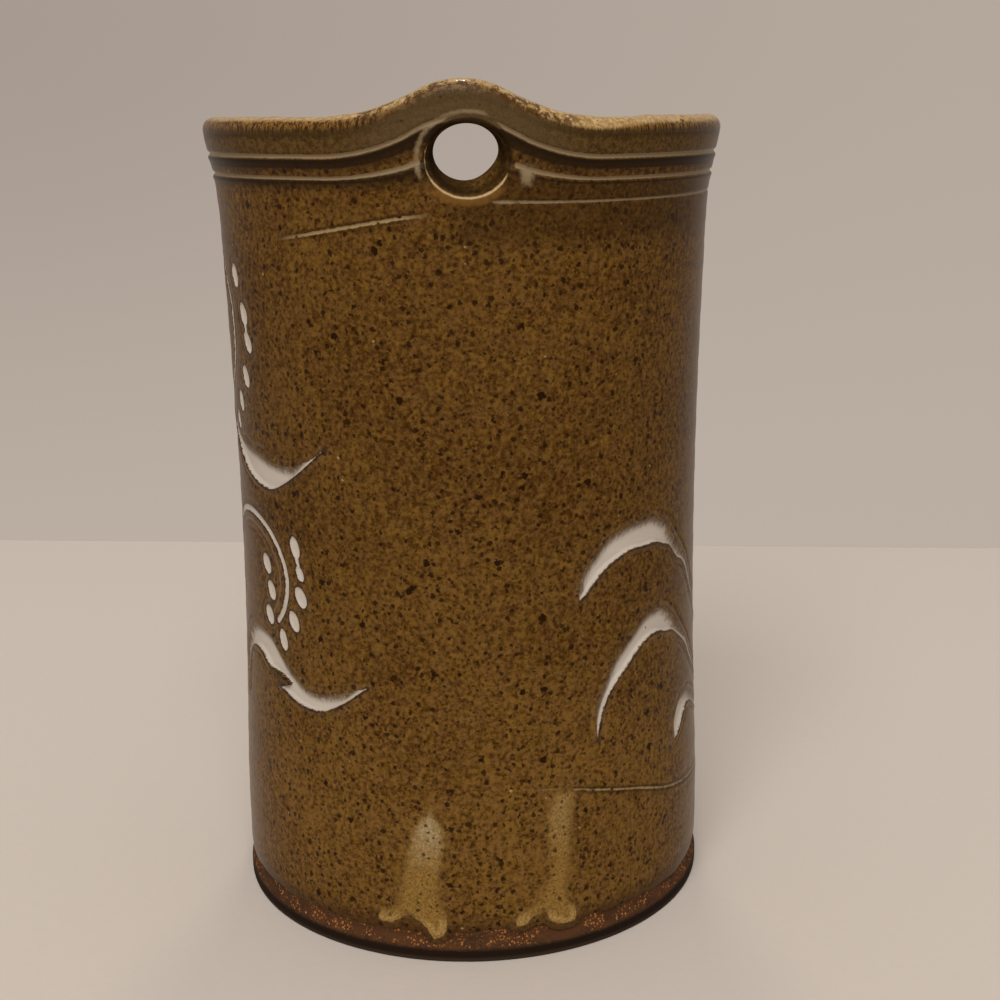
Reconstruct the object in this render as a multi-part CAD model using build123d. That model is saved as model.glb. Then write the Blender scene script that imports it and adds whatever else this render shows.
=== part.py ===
from build123d import *
import math
import os

# Hanging wall vase: a thrown stoneware cylinder with a ringed collar, a lug with a hanging hole,
# carved ornament filled with white slip, and glaze coats inside and out.
# Upright on +Z, its foot on Z = 0, and the lug towards -Y. Millimetres and degrees.
# Azimuths count from the lug, positive towards +X.

# Clay body, its waist and shoulder drawn in from the base
base_radius = 51.4
waist_draw = 1.6
waist_height = 80.0
shoulder_draw = 0.4
wall_thickness = 5.0
wall_height = 135.0
floor_thickness = 8.0
foot_bevel = 1.5

# Collar and lip, the neck as wide as the base
collar_rise = 24.5
neck_rise = 9.0
lip_flare = 2.4
lip_thickness = 5.5
lip_round = 2.2
lip_band = 1.2
groove_radius = 0.45
groove_steps = (11.0, 14.8, 18.3)

# Scoop in the rim at the front: the collar left below it, the rim left beside it, and its flanks' arc
scoop_left = 6.0
scoop_margin = 4.5
scoop_flank_radius = 24.0

# Lug and hanging hole
lug_rise = 7.2
lug_top_radius = 16.5
lug_flank_radius = 39.0
lug_margin = 1.0
bore_radius = 6.0
bore_above_collar = 19.2
mouth_radius = 7.6
mouth_depth = 2.6
mouth_drop = 1.2

# Glaze and slip
glaze = 0.5
bare_foot = 5.5
rim_glaze_depth = 3.0
run_thickness = 0.4
carve_depth = 1.0
slip = 0.5

# Carved crescents: two tips, points on the soft upper edge, points on the crisp lower edge,
# each as (azimuth, distance below the collar)
crescents = {
    "crescent_right_upper": (
        (25.6, 67.5), [(26.2, 62.0), (34.0, 55.6), (45.0, 53.6), (55.0, 57.0)],
        (63.6, 65.2), [(31.4, 62.8), (41.0, 59.2), (52.0, 59.8)]),
    "crescent_right_middle": (
        (30.2, 97.6), [(30.6, 89.5), (37.5, 80.0), (47.5, 74.2), (56.5, 76.0), (66.0, 83.4)],
        (75.0, 92.6), [(35.0, 87.0), (44.0, 80.8), (52.5, 79.2), (63.0, 83.8)]),
    "crescent_right_lower": (
        (58.4, 105.3), [(58.9, 99.5), (63.0, 95.5), (71.0, 94.4), (82.0, 100.0)],
        (92.0, 109.0), [(62.0, 102.0), (67.5, 99.0), (74.0, 98.4), (83.0, 103.0)]),
    "crescent_left_upper": (
        (-84.0, 33.0), [(-70.6, 39.4), (-57.0, 41.4), (-44.3, 41.6)],
        (-33.1, 36.5), [(-71.0, 43.4), (-56.5, 47.4), (-43.0, 43.4)]),
    "crescent_left_lower": (
        (-74.0, 78.0), [(-63.0, 78.4), (-52.0, 82.3), (-42.0, 87.8), (-33.0, 87.6)],
        (-24.2, 84.9), [(-62.5, 84.4), (-50.2, 90.0), (-40.5, 92.4), (-31.5, 89.8)]),
    "crescent_front_right": (
        (100.0, 77.0), [(104.0, 67.0), (117.0, 60.0), (130.0, 63.0)],
        (142.0, 75.0), [(107.0, 71.5), (118.0, 66.0), (131.0, 68.0)]),
    "crescent_front_left": (
        (-146.0, 51.0), [(-133.0, 59.0), (-120.0, 60.4), (-108.0, 58.0)],
        (-98.0, 51.0), [(-133.0, 63.5), (-120.0, 66.4), (-107.0, 62.0)]),
}

# Leaf loops: open-ended ovals, each as the middle's (azimuth, distance below the collar), half width,
# half height, and how far the foot lies below the middle
leaf_line = 0.8
leaves = {
    "leaf_lower": ((-65.5, 67.0), 15.2, 13.0, 8.3),
    "leaf_upper": ((-84.0, 16.0), 12.3, 14.0, 12.0),
    "leaf_front": ((180.0, 43.0), 13.0, 15.0, 12.0),
}

# Slip dots: their size, and where each one sits as (azimuth, distance below the collar)
dot_width = 2.8
dot_height = 4.4
dots = {
    "leaf_dots_lower_outer": [(-44.5, 58.4), (-43.1, 63.7), (-43.0, 68.7), (-45.7, 74.3), (-50.0, 79.1)],
    "leaf_dots_lower_inner": [(-56.8, 64.0), (-54.8, 69.4), (-56.0, 74.9)],
    "leaf_dots_upper": [(-64.9, 5.0), (-61.2, 12.5), (-59.8, 18.1), (-62.6, 25.4), (-67.6, 31.1)],
    "leaf_dots_front": [(158.5, 39.0), (158.0, 45.5), (161.0, 52.0),
                        (-161.0, 52.0), (-158.0, 45.5), (-158.5, 39.0)],
}

# Glaze runs: rounded outlines from the top down the left side and back up, as (azimuth, height above
# the bare foot)
run_round = 0.8
glaze_runs = {
    "glaze_run_left": [(-9.8, 28.9), (-14.4, 23.5), (-15.6, 12.5), (-21.6, 3.3), (-20.2, 1.7),
                       (-14.6, 4.9), (-9.2, 0.5), (-6.6, 1.7), (-7.4, 10.2), (-6.4, 22.5)],
    "glaze_run_right": [(20.0, 30.9), (16.4, 24.5), (16.8, 12.5), (9.4, 3.1), (10.6, 1.5),
                        (15.4, 4.5), (18.0, 0.9), (23.8, 0.9), (22.0, 10.5), (23.4, 24.5)],
}

# Worked-out places
waist_radius = base_radius - waist_draw
shoulder_radius = base_radius - shoulder_draw
neck_radius = base_radius
lip_radius = neck_radius + lip_flare
collar_height = floor_thickness + wall_height
neck_height = collar_height + neck_rise
rim_height = collar_height + collar_rise
flare_top = rim_height - lip_round - lip_band
bore_height = collar_height + bore_above_collar
scoop_depth = collar_rise - scoop_left
scoop_half_width = lip_radius - lip_thickness - scoop_margin
scoop_arcs = (scoop_half_width**2 + scoop_depth**2) / (2 * scoop_depth)
scoop_bottom_radius = scoop_arcs - scoop_flank_radius
reach = 2 * lip_radius
collar_top = rim_height + 2 * lug_rise


def turned(*edges):
    """Solid of revolution about the pot's axis, from edges drawn as (radius, height)."""
    return revolve(Plane.XZ * make_face(edges), Axis.Z)


def turned_points(*points):
    """Solid of revolution from the corners of its section."""
    return turned(*Polyline(*points, close=True).edges())


def wall_line(offset):
    """The wall's waisted outer line from the floor to the collar, moved out by an offset."""
    foot = (base_radius + offset, floor_thickness)
    waist = (waist_radius + offset, waist_height)
    shoulder = (shoulder_radius + offset, collar_height)
    return ThreePointArc(foot, waist, shoulder)


def wall_shell(inside, outside):
    """The part of the wall between two offsets from its outer line."""
    inner = wall_line(inside)
    outer = wall_line(outside)
    return turned(outer, Line(outer @ 1, inner @ 1), inner, Line(inner @ 0, outer @ 0))


def outside_coat(inside, outside):
    """A coat between two offsets from the wall's outer line, down over the foot to the bare band."""
    inner = wall_line(inside)
    outer = wall_line(outside)
    inner_end = (base_radius + inside, bare_foot)
    outer_end = (base_radius + outside, bare_foot)
    return turned(
        outer, Line(outer @ 1, inner @ 1), inner, Line(inner @ 0, inner_end),
        Line(inner_end, outer_end), Line(outer_end, outer @ 0))


def swell_half_width(rise, crest, flank):
    """Half the width of a swell in the rim's line, from its rise and its two arc radii."""
    return math.sqrt(abs(rise) * (2 * (crest + flank) - abs(rise)))


def swell(level, offset, rise, crest, flank):
    """Bar along the pot's front-to-back line under a hill in the rim's line, or over a dip in it."""
    way = math.copysign(1, rise)
    half_width = swell_half_width(rise, crest, flank)
    angle = math.asin(half_width / (crest + flank))
    crest_arc = crest + way * offset
    flank_arc = flank - way * offset
    turn_x = crest_arc * math.sin(angle)
    turn_z = level + way * flank_arc * (1 - math.cos(angle))
    flank_x = half_width - flank_arc * math.sin(angle / 2)
    flank_z = level + way * flank_arc * (1 - math.cos(angle / 2))
    outline = [
        ThreePointArc((-half_width, level), (-flank_x, flank_z), (-turn_x, turn_z)),
        ThreePointArc((-turn_x, turn_z), (0, level + rise), (turn_x, turn_z)),
        ThreePointArc((turn_x, turn_z), (flank_x, flank_z), (half_width, level)),
        Line((half_width, level), (-half_width, level)),
    ]
    return extrude(Plane.XZ * make_face(outline), reach, dir=(0, -way, 0))


def above_rim(offset):
    """Everything above the rim's line with its hill and its scoop, the line moved up by an offset."""
    level = rim_height + offset
    sky = Pos(0, 0, level) * Box(2 * reach, 2 * reach, reach, align=(Align.CENTER, Align.CENTER, Align.MIN))
    hill = swell(level, offset, lug_rise, lug_top_radius, lug_flank_radius)
    scoop = swell(level, offset, -scoop_depth, scoop_bottom_radius, scoop_flank_radius)
    return sky - hill + scoop


def collar_line(shoulder, neck, lip):
    """Line of the collar's section through three radii, and on straight up above its lip."""
    wall_end = wall_line(0) % 1
    places = [(shoulder, collar_height), (neck, neck_height), (lip, flare_top)]
    flare = Spline(*places, tangents=(wall_end, (0, 1)))
    return [flare, Line((lip, flare_top), (lip, collar_top))]


def collar_outside(coat):
    """Outer line of the collar with a coat on it."""
    return collar_line(shoulder_radius + coat, neck_radius + coat, lip_radius + coat)


def collar_inside(coat):
    """Inner line of the collar with a coat on it."""
    inset = wall_thickness + coat
    return collar_line(shoulder_radius - inset, neck_radius - inset, lip_radius - lip_thickness - coat)


def hanging_hole(narrower):
    """The bore through the lug and its flared, lower-set mouth, both smaller in radius by an amount."""
    outside = collar_outside(glaze)[0].position_at(bore_above_collar, PositionMode.LENGTH).X
    widening = (mouth_radius - bore_radius) / mouth_depth
    sinking = mouth_drop / mouth_depth
    past_wall = mouth_depth + lip_thickness
    seat = Plane((0, mouth_depth - outside, bore_height), x_dir=(1, 0, 0), z_dir=(0, -1, 0))
    inner_end = seat * Circle(bore_radius - narrower)
    outer_radius = bore_radius - narrower + widening * past_wall
    outer_end = seat * Pos(0, -sinking * past_wall, past_wall) * Circle(outer_radius)
    return extrude(inner_end, -2 * lip_thickness) + loft([inner_end, outer_end])


def collar(coat):
    """Collar with its lip, scoop, grooves, lug and hole, under a coat of a given thickness."""
    outer = collar_outside(coat)
    inner = collar_inside(coat)
    section = [*outer, Line(outer[1] @ 1, inner[1] @ 1), *inner, Line(inner[0] @ 0, outer[0] @ 0)]
    sky = above_rim(coat)
    block = turned(*section) - sky
    lips = []
    for edge in block.edges():
        if edge.geom_type != GeomType.LINE and sky.distance_to(edge @ 0.5) < lip_round / 100:
            lips.append(edge)
    block = fillet(lips, lip_round + coat)
    for step in groove_steps:
        line = Pos(outer[0].position_at(step, PositionMode.LENGTH)) * Circle(groove_radius)
        block -= revolve(Plane.XZ * line, Axis.Z)
    return block - hanging_hole(coat - glaze)


def facing(azimuth):
    """Plane through the axis that faces outward at an azimuth, its local Y upward."""
    turn = math.radians(azimuth)
    outward = (math.sin(turn), -math.cos(turn), 0)
    return Plane(origin=(0, 0, 0), x_dir=(math.cos(turn), math.sin(turn), 0), z_dir=outward)


def across(degrees):
    """Sideways distance on a facing plane of a wall point so many degrees away."""
    return waist_radius * math.sin(math.radians(degrees))


def on_face(points, azimuth):
    """Wall points, given as (azimuth, drop below the collar), on the plane that faces an azimuth."""
    return [(across(a - azimuth), collar_height - drop) for a, drop in points]


def cutter(outline, azimuth):
    """A flat outline pushed straight out through the wall at an azimuth."""
    plane = facing(azimuth)
    return extrude(plane.offset(base_radius / 2) * outline, base_radius, dir=plane.z_dir)


def crescent_cutter(first_tip, soft_edge, last_tip, crisp_edge):
    """Cutter of a crescent between its two tips."""
    azimuth = (first_tip[0] + last_tip[0]) / 2
    upper = Spline(*on_face([first_tip, *soft_edge, last_tip], azimuth))
    lower = Spline(*on_face([first_tip, *crisp_edge, last_tip], azimuth))
    return cutter(make_face([upper, lower]), azimuth)


def leaf_cutter(middle, half_width, half_height, foot):
    """Cutter of a leaf loop: an oval line, open below its foot."""
    azimuth, drop = middle
    edge = leaf_line / 2
    oval = Ellipse(half_width + edge, half_height + edge) - Ellipse(half_width - edge, half_height - edge)
    below = Pos(0, -foot) * Rectangle(3 * half_width, 3 * half_height, align=(Align.CENTER, Align.MAX))
    return cutter(Pos(0, collar_height - drop) * (oval - below), azimuth)


def dot_cutter(place):
    """Cutter of one slip dot."""
    azimuth, drop = place
    return cutter(Pos(0, collar_height - drop) * Ellipse(dot_width / 2, dot_height / 2), azimuth)


def run_cutter(outline):
    """Cutter of a glaze run's closed outline."""
    azimuth = sum(a for a, _ in outline) / len(outline)
    corners = [(across(a - azimuth), bare_foot + rise) for a, rise in outline]
    sharp = make_face(Polyline(*corners, close=True))
    return cutter(fillet(sharp.vertices(), run_round), azimuth)


# Carved places, by the slip that fills them
carvings = {name: [crescent_cutter(*shape)] for name, shape in crescents.items()}
carvings |= {name: [leaf_cutter(*shape)] for name, shape in leaves.items()}
carvings |= {name: [dot_cutter(place) for place in places] for name, places in dots.items()}
all_cutters = [tool for tools in carvings.values() for tool in tools]

pieces = {}

# Clay: floor slab, carved wall, collar and lug
pieces["clay_floor"] = turned_points(
    (0, 0), (base_radius - foot_bevel, 0), (base_radius, foot_bevel),
    (base_radius, floor_thickness), (0, floor_thickness))
carved_zone = wall_shell(-carve_depth, glaze)
carved = [carved_zone & tool for tool in all_cutters]
pieces["clay_wall"] = wall_shell(-wall_thickness, 0) - carved
clay_collar = collar(0)
lug_width = 2 * (swell_half_width(lug_rise, lug_top_radius, lug_flank_radius) + lug_margin)
lug_space = Box(lug_width, reach, 4 * reach, align=(Align.CENTER, Align.MAX, Align.CENTER))
pieces["clay_collar"] = clay_collar - lug_space
pieces["hanging_lug"] = clay_collar & lug_space

# Glaze outside: wall coat over the top of the foot, collar coat with the hole's lining, and lip
pieces["outer_glaze"] = outside_coat(0, glaze) - carved
collar_coat = collar(glaze) - clay_collar
over_lip = above_rim(-rim_glaze_depth)
side = collar_inside(0)
inside = turned(
    *side, Line(side[1] @ 1, (0, collar_top)), Line((0, collar_top), (0, collar_height)),
    Line((0, collar_height), side[0] @ 0))
pieces["rim_glaze"] = collar_coat & over_lip
pieces["collar_glaze"] = collar_coat - over_lip - inside

# Glaze inside: floor, wall and collar in one coat
floor_face = floor_thickness + glaze
floor_coat = turned_points(
    (0, floor_thickness), (base_radius - wall_thickness - glaze, floor_thickness),
    (base_radius - wall_thickness - glaze, floor_face), (0, floor_face))
wall_coat = wall_shell(-wall_thickness - glaze, -wall_thickness)
pieces["liner_glaze"] = wall_coat + (floor_coat - wall_coat) + ((collar_coat - over_lip) & inside)

# Thick glaze runs on the wall coat, and slip in the carved places
run_zone = outside_coat(glaze, glaze + run_thickness)
for name, outline in glaze_runs.items():
    pieces[name] = run_zone & run_cutter(outline)
slip_zone = wall_shell(-carve_depth, slip - carve_depth)
for name, tools in carvings.items():
    pieces[name] = Compound([solid for tool in tools for solid in (slip_zone & tool).solids()])

os.makedirs("parts", exist_ok=True)
for name, piece in pieces.items():
    export_step(piece, f"parts/{name}.step")
    print(name, len(piece.solids()), round(piece.volume, 1))
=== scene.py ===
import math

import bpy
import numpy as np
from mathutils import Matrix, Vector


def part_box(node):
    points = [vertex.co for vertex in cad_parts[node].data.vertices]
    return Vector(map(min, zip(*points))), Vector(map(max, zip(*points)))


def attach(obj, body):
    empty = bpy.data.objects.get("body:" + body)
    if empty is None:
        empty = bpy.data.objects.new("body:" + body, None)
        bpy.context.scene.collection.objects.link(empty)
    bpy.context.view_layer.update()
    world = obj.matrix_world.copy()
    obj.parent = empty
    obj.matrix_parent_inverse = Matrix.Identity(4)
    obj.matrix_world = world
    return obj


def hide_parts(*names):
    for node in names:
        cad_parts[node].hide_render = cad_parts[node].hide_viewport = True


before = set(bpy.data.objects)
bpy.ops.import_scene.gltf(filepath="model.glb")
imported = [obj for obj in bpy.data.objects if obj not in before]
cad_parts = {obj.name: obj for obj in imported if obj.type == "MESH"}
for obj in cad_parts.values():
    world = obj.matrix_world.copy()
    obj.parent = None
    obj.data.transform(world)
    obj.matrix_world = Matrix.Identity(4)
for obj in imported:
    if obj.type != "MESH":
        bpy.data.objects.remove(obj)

# %% [markdown]
# # A hanging wall vase
# The real pot was thrown on a wheel as one tall cylinder. Its maker cut rings into the collar, pulled
# the rim up into a lug, pressed a hole through it, carved strokes and dots into the wall, laid white
# slip into them, and dipped the whole in a speckled brown glaze that ran at the foot.
# Here the solids give the frame and the sizes. Every visible skin is laid over them as a sheet of quads
# worked out from a few measured lines, because a thrown surface is a formula of angle and height.

MM = 0.001
LOW, HIGH = 0, 1
scene = bpy.context.scene
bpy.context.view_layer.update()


def side(node, corner, axis):
    """One side of a solid's box, in millimetres."""
    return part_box(node)[corner]["XYZ".index(axis)] / MM


coat = 0.5
bare_foot = side("outer_glaze", LOW, "Z")
collar_foot = side("clay_wall", HIGH, "Z")
floor_face = side("clay_floor", HIGH, "Z") + coat
rim_level = side("clay_collar", HIGH, "Z") + coat
lip_radius = side("rim_glaze", HIGH, "X")
lug_top = side("rim_glaze", HIGH, "Z")
print("rim at", round(rim_level, 1), "mm, lug top at", round(lug_top, 1), "mm")
print("lip radius", round(lip_radius, 1), "mm")

# %% [markdown]
# ## Lines of the thrown form
# A potter checks a pot by its outline, so the wall starts as one smooth line of radius against height.
# Soft steps and smooth lines through a few points are the only two curves that the pot needs. A little
# unevenness from the hands is added as a few slow waves with a fixed seed, so each run is the same.

# %% Smooth lines and the wall's outline


def ramp(start, end, x):
    """Soft step from 0 at the start to 1 at the end."""
    t = np.clip((np.asarray(x, float) - start) / (end - start), 0, 1)
    return t * t * (3 - 2 * t)


def bell(middle, width, x):
    """Soft bump of height 1 about a middle."""
    return np.exp(-(((np.asarray(x, float) - middle) / width) ** 2))


def smooth_line(places, values, x):
    """Smooth curve through points, flat beyond its ends."""
    places = np.asarray(places, float)
    values = np.asarray(values, float)
    slopes = np.gradient(values, places)
    x = np.clip(x, places[0], places[-1])
    i = np.clip(np.searchsorted(places, x) - 1, 0, len(places) - 2)
    gap = places[i + 1] - places[i]
    t = (x - places[i]) / gap
    start = (2 * t**3 - 3 * t**2 + 1) * values[i] + (t**3 - 2 * t**2 + t) * gap * slopes[i]
    end = (3 * t**2 - 2 * t**3) * values[i + 1] + (t**3 - t**2) * gap * slopes[i + 1]
    return start + end


outline_heights = (0, 23, 46, 69, 92, 115, 138, 152, 156, 159.5, 162, 164.5, 166.5, 190)
outline_radii = (51.9, 51.8, 51.0, 50.45, 50.3, 50.6, 51.3, 51.9, 52.3, 52.95, 53.5, 54.05,
                 lip_radius, lip_radius)


def hand(azimuth, height, size, seed):
    """Slow unevenness round the pot, drifting a little with height."""
    chance = np.random.default_rng(seed)
    total = 0
    for turns in range(2, 8):
        phase = chance.uniform(0, 2 * math.pi)
        drift = chance.normal(0, 0.03)
        total = total + np.sin(turns * azimuth + phase + drift * height) / turns
    return size * total


def throwing_rings(azimuth, height):
    """Low ridges left by the fingers, climbing slowly round the pot."""
    climb = azimuth / (2 * math.pi)
    slow = np.sin(2 * math.pi * (height / 9.0 - climb))
    quick = np.sin(2 * math.pi * (height / 3.4 - 2 * climb) + 1.3 * np.sin(height / 7.0))
    return 0.03 * slow + 0.018 * quick


def wall_radius(azimuth, height):
    """Radius of the glazed wall, in millimetres."""
    return (smooth_line(outline_heights, outline_radii, height)
            + hand(azimuth, height, 0.1, 3) + throwing_rings(azimuth, height))


print("waist radius", round(float(wall_radius(0.0, 85.0)), 2), "mm")

# %% [markdown]
# ## Sheets of quads
# Every skin here is a thin layer, like glaze itself. One helper takes a sheet of quads and closes it into
# a thin solid by adding a parallel underside and a narrow rim, so each piece is a real closed object.
# Vertex fields travel with the mesh and later tell the materials where a groove or a stroke lies.

# %% Closed thin pieces from sheets
sharp_edge = math.radians(60)


def all_round(count):
    """Evenly spaced azimuths right round the pot, starting at the far side."""
    return np.linspace(-math.pi, math.pi, count, endpoint=False)


def at(azimuth, radius, height):
    """Points from azimuth (0 at the lug, which faces -Y), radius and height."""
    x, y = radius * np.sin(azimuth), -radius * np.cos(azimuth)
    return np.stack(np.broadcast_arrays(x, y, height), -1)


def sheet_normals(points, quads):
    """Unit normals at the points of a sheet."""
    across = np.cross(points[quads[:, 2]] - points[quads[:, 0]], points[quads[:, 3]] - points[quads[:, 1]])
    normals = np.zeros_like(points)
    for corner in range(4):
        np.add.at(normals, quads[:, corner], across)
    return normals / np.maximum(np.linalg.norm(normals, axis=1, keepdims=True), 1e-12)


def border(quads):
    """The sheet's open edges, each in the direction of its quad."""
    edges = np.concatenate([quads[:, [0, 1]], quads[:, [1, 2]], quads[:, [2, 3]], quads[:, [3, 0]]])
    edges = edges[edges[:, 0] != edges[:, 1]]
    keys = np.sort(edges, axis=1)
    _, first, count = np.unique(keys, axis=0, return_index=True, return_counts=True)
    return edges[first[count == 1]]


def make_piece(name, points, quads, thickness, fields, nodes):
    """Closed thin object from a sheet, riding on the pot in place of its solids."""
    used, quads = np.unique(quads, return_inverse=True)
    points = points[used]
    quads = quads.reshape(-1, 4)
    count = len(points)
    under = points - thickness * sheet_normals(points, quads)
    rim = border(quads)
    rim_quads = np.column_stack([rim[:, 1], rim[:, 0], rim[:, 0] + count, rim[:, 1] + count])
    faces = np.concatenate([quads, quads[:, ::-1] + count, rim_quads])
    mesh = bpy.data.meshes.new(name)
    mesh.from_pydata((np.concatenate([points, under]) * MM).tolist(), [], faces.tolist())
    mesh.polygons.foreach_set("use_smooth", [True] * len(mesh.polygons))
    for field, values in fields.items():
        values = np.broadcast_to(values, len(used) if np.ndim(values) == 0 else np.shape(values))
        kept = values if len(values) == count else values[used]
        stored = mesh.attributes.new(field, "FLOAT", "POINT")
        stored.data.foreach_set("value", np.tile(kept, 2).astype(np.float32))
    mesh.set_sharp_from_angle(angle=sharp_edge)
    piece = bpy.data.objects.new(name, mesh)
    scene.collection.objects.link(piece)
    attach(piece, "root")
    if nodes:
        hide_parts(*nodes)
    print(name, len(faces), "faces")
    return piece


def grid_quads(rows, columns, closed):
    """Quads of a grid with rows upward and columns towards the right, seen from outside."""
    index = np.arange(rows * columns).reshape(rows, columns)
    if closed:
        index = np.column_stack([index, index[:, 0]])
    corners = [index[:-1, :-1], index[:-1, 1:], index[1:, 1:], index[1:, :-1]]
    return np.stack(corners, -1).reshape(-1, 4)


# %% [markdown]
# ## Where the strokes lie
# The ornament is of the common kind that a loop tool makes: crescents with one crisp and one soft edge,
# leaf loops, and rows of dots. Each is given by a few points as azimuth in degrees and height in
# millimetres. From them come distances: how far a point of the wall lies inside a stroke, and how far
# from its soft edge. Distances serve both the shape and the colour, so the two always agree.

# %% Points of the strokes
crescents = {
    "crescent_right_upper": (
        [(25.4, 75.3), (25.6, 79.4), (29.8, 84.4), (33.7, 87.4), (38.8, 88.7), (44.4, 89.3), (49.6, 89.0),
         (54.1, 86.9), (57.0, 84.1), (60.4, 81.2), (63.9, 78.5), (66.8, 75.6), (70.0, 71.9), (74.0, 67.4),
         (79.0, 62.5), (86.0, 56.5)],
        [(25.4, 75.3), (28.2, 77.4), (31.4, 80.3), (35.7, 82.4), (40.5, 83.7), (45.0, 83.7), (49.8, 83.6),
         (53.0, 82.6), (55.9, 81.7), (58.0, 80.0), (60.5, 78.1), (63.2, 77.0), (66.0, 74.9), (69.2, 71.2),
         (73.3, 66.7), (78.5, 61.9), (86.0, 56.5)]),
    "crescent_right_middle": (
        [(30.0, 45.0), (29.9, 51.9), (32.2, 56.8), (35.2, 61.1), (40.0, 64.9), (44.9, 68.2), (49.5, 69.2),
         (53.7, 68.7), (57.8, 65.9), (61.5, 62.7), (65.5, 59.6), (71.6, 53.6), (76.4, 49.5), (83.0, 44.0)],
        [(30.0, 45.0), (31.4, 50.6), (34.6, 55.6), (38.8, 58.9), (43.8, 62.5), (47.0, 63.8),
         (50.7, 64.1), (54.5, 63.2), (57.8, 62.6), (60.2, 61.3), (63.0, 59.6), (66.0, 57.7), (71.3, 52.8),
         (76.2, 48.9), (83.0, 44.0)]),
    "crescent_right_lower": (
        [(58.4, 37.5), (57.8, 40.5), (59.2, 43.4), (62.0, 45.6), (66.2, 46.2), (70.5, 45.2), (77.0, 41.9),
         (92.0, 33.0)],
        [(58.4, 37.5), (60.6, 38.7), (62.4, 40.1), (64.7, 41.8), (66.8, 43.0), (70.0, 42.8), (76.0, 40.2),
         (92.0, 33.0)]),
    "crescent_left_upper": (
        [(-84.0, 110.0), (-70.6, 103.6), (-59.1, 102.3), (-51.6, 101.3), (-44.3, 101.4), (-38.4, 103.4),
         (-33.0, 106.5)],
        [(-84.0, 110.0), (-73.0, 101.5), (-65.7, 97.7), (-60.3, 96.1), (-52.3, 95.6), (-47.9, 97.2), (-42.6, 100.0),
         (-33.0, 106.5)]),
    "crescent_left_lower": (
        [(-73.0, 46.5), (-74.8, 51.0), (-74.4, 56.5), (-71.6, 61.0), (-66.6, 63.4), (-61.0, 64.0), (-56.0, 63.2),
         (-53.4, 61.7), (-50.6, 59.7), (-46.4, 57.2), (-42.3, 55.2), (-38.5, 54.8), (-33.1, 55.6), (-24.0, 58.2)],
        [(-73.0, 46.5), (-72.0, 51.0), (-71.2, 55.0), (-68.6, 58.0), (-64.7, 58.9), (-60.9, 58.3), (-58.2, 57.0),
         (-55.8, 55.7), (-52.6, 53.7), (-49.6, 52.6), (-46.2, 51.5), (-40.5, 50.8), (-36.8, 51.1), (-32.4, 52.9),
         (-24.0, 58.2)]),
    "crescent_front_right": (
        [(100.0, 66.0), (104.0, 76.0), (117.0, 83.0), (130.0, 80.0), (142.0, 68.0)],
        [(100.0, 66.0), (107.0, 71.5), (118.0, 77.0), (131.0, 75.0), (142.0, 68.0)]),
    "crescent_front_left": (
        [(-146.0, 92.0), (-133.0, 84.0), (-120.0, 82.6), (-108.0, 85.0), (-98.0, 92.0)],
        [(-146.0, 92.0), (-133.0, 79.5), (-120.0, 76.6), (-107.0, 81.0), (-98.0, 92.0)]),
}
chips = {
    "crescent_left_lower": [(-56.8, 56.5), (-51.5, 55.8), (-48.1, 54.8), (-48.6, 54.2), (-51.8, 53.2),
                            (-54.5, 51.8), (-59.5, 54.5), (-56.8, 56.5)],
}
leaves = {
    "leaf_lower": ((-65.5, 76.0), 15.2, 13.0, 8.3),
    "leaf_upper": ((-84.0, 127.0), 12.3, 14.0, 12.0),
    "leaf_front": ((180.0, 100.0), 13.0, 15.0, 12.0),
}
dots = {
    "leaf_dots_lower_outer": [(-44.5, 84.6, 2.9, 4.6), (-43.1, 79.3, 2.4, 3.3), (-43.0, 74.3, 3.5, 4.4),
                              (-45.7, 68.7, 3.2, 4.4), (-50.0, 63.9, 2.8, 4.6)],
    "leaf_dots_lower_inner": [(-56.8, 79.0, 3.4, 4.3), (-54.8, 73.6, 3.2, 4.1), (-56.2, 68.0, 3.3, 4.1)],
    "leaf_dots_upper": [(-64.9, 138.0, 3.4, 4.8), (-61.2, 130.5, 3.4, 4.7), (-59.8, 124.9, 3.2, 4.4),
                        (-62.6, 117.6, 3.3, 4.6), (-67.6, 111.9, 3.0, 4.4), (-71.5, 107.4, 2.6, 4.0)],
    "leaf_dots_front": [(158.5, 104.0, 2.8, 4.4), (158.0, 97.5, 2.8, 4.4), (161.0, 91.0, 2.8, 4.4),
                        (-161.0, 91.0, 2.8, 4.4), (-158.0, 97.5, 2.8, 4.4), (-158.5, 104.0, 2.8, 4.4)],
}
necks = {
    "leaf_dots_lower_outer": [(-44.5, 84.6), (-43.1, 79.3)],
    "leaf_dots_upper": [(-61.2, 130.5), (-59.8, 124.9)],
}
scratches = {
    "scratch_under_collar": ([(-44.4, 146.2), (-32.5, 147.9), (-25.1, 149.0), (-18.3, 150.0), (-11.9, 150.9),
                              (-6.8, 151.4)], 0.42),
    "line_near_foot": ([(11.5, 37.3), (20.0, 36.3), (30.4, 34.2), (42.9, 31.4), (54.4, 28.1), (67.7, 25.8),
                        (80.0, 24.6)], 0.32),
}
print(len(crescents), "crescents,", len(leaves), "leaf loops,", sum(map(len, dots.values())), "dots")

# %% Distances to the strokes
map_radius = 50.5
far_off = 9.0


def on_map(places):
    """Places given as (azimuth in degrees, height) on the wall laid flat, in millimetres."""
    places = np.asarray(places, float)
    return np.column_stack([np.radians(places[:, 0]) * map_radius, places[:, 1]])


def line_through(places, count=70):
    """Smooth line through places on the flat map, as many short straight steps."""
    flat = on_map(places)
    length = np.concatenate([[0], np.cumsum(np.hypot(*np.diff(flat, axis=0).T))])
    steps = np.linspace(0, length[-1], count)
    return np.column_stack([smooth_line(length, flat[:, 0], steps), smooth_line(length, flat[:, 1], steps)])


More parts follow.
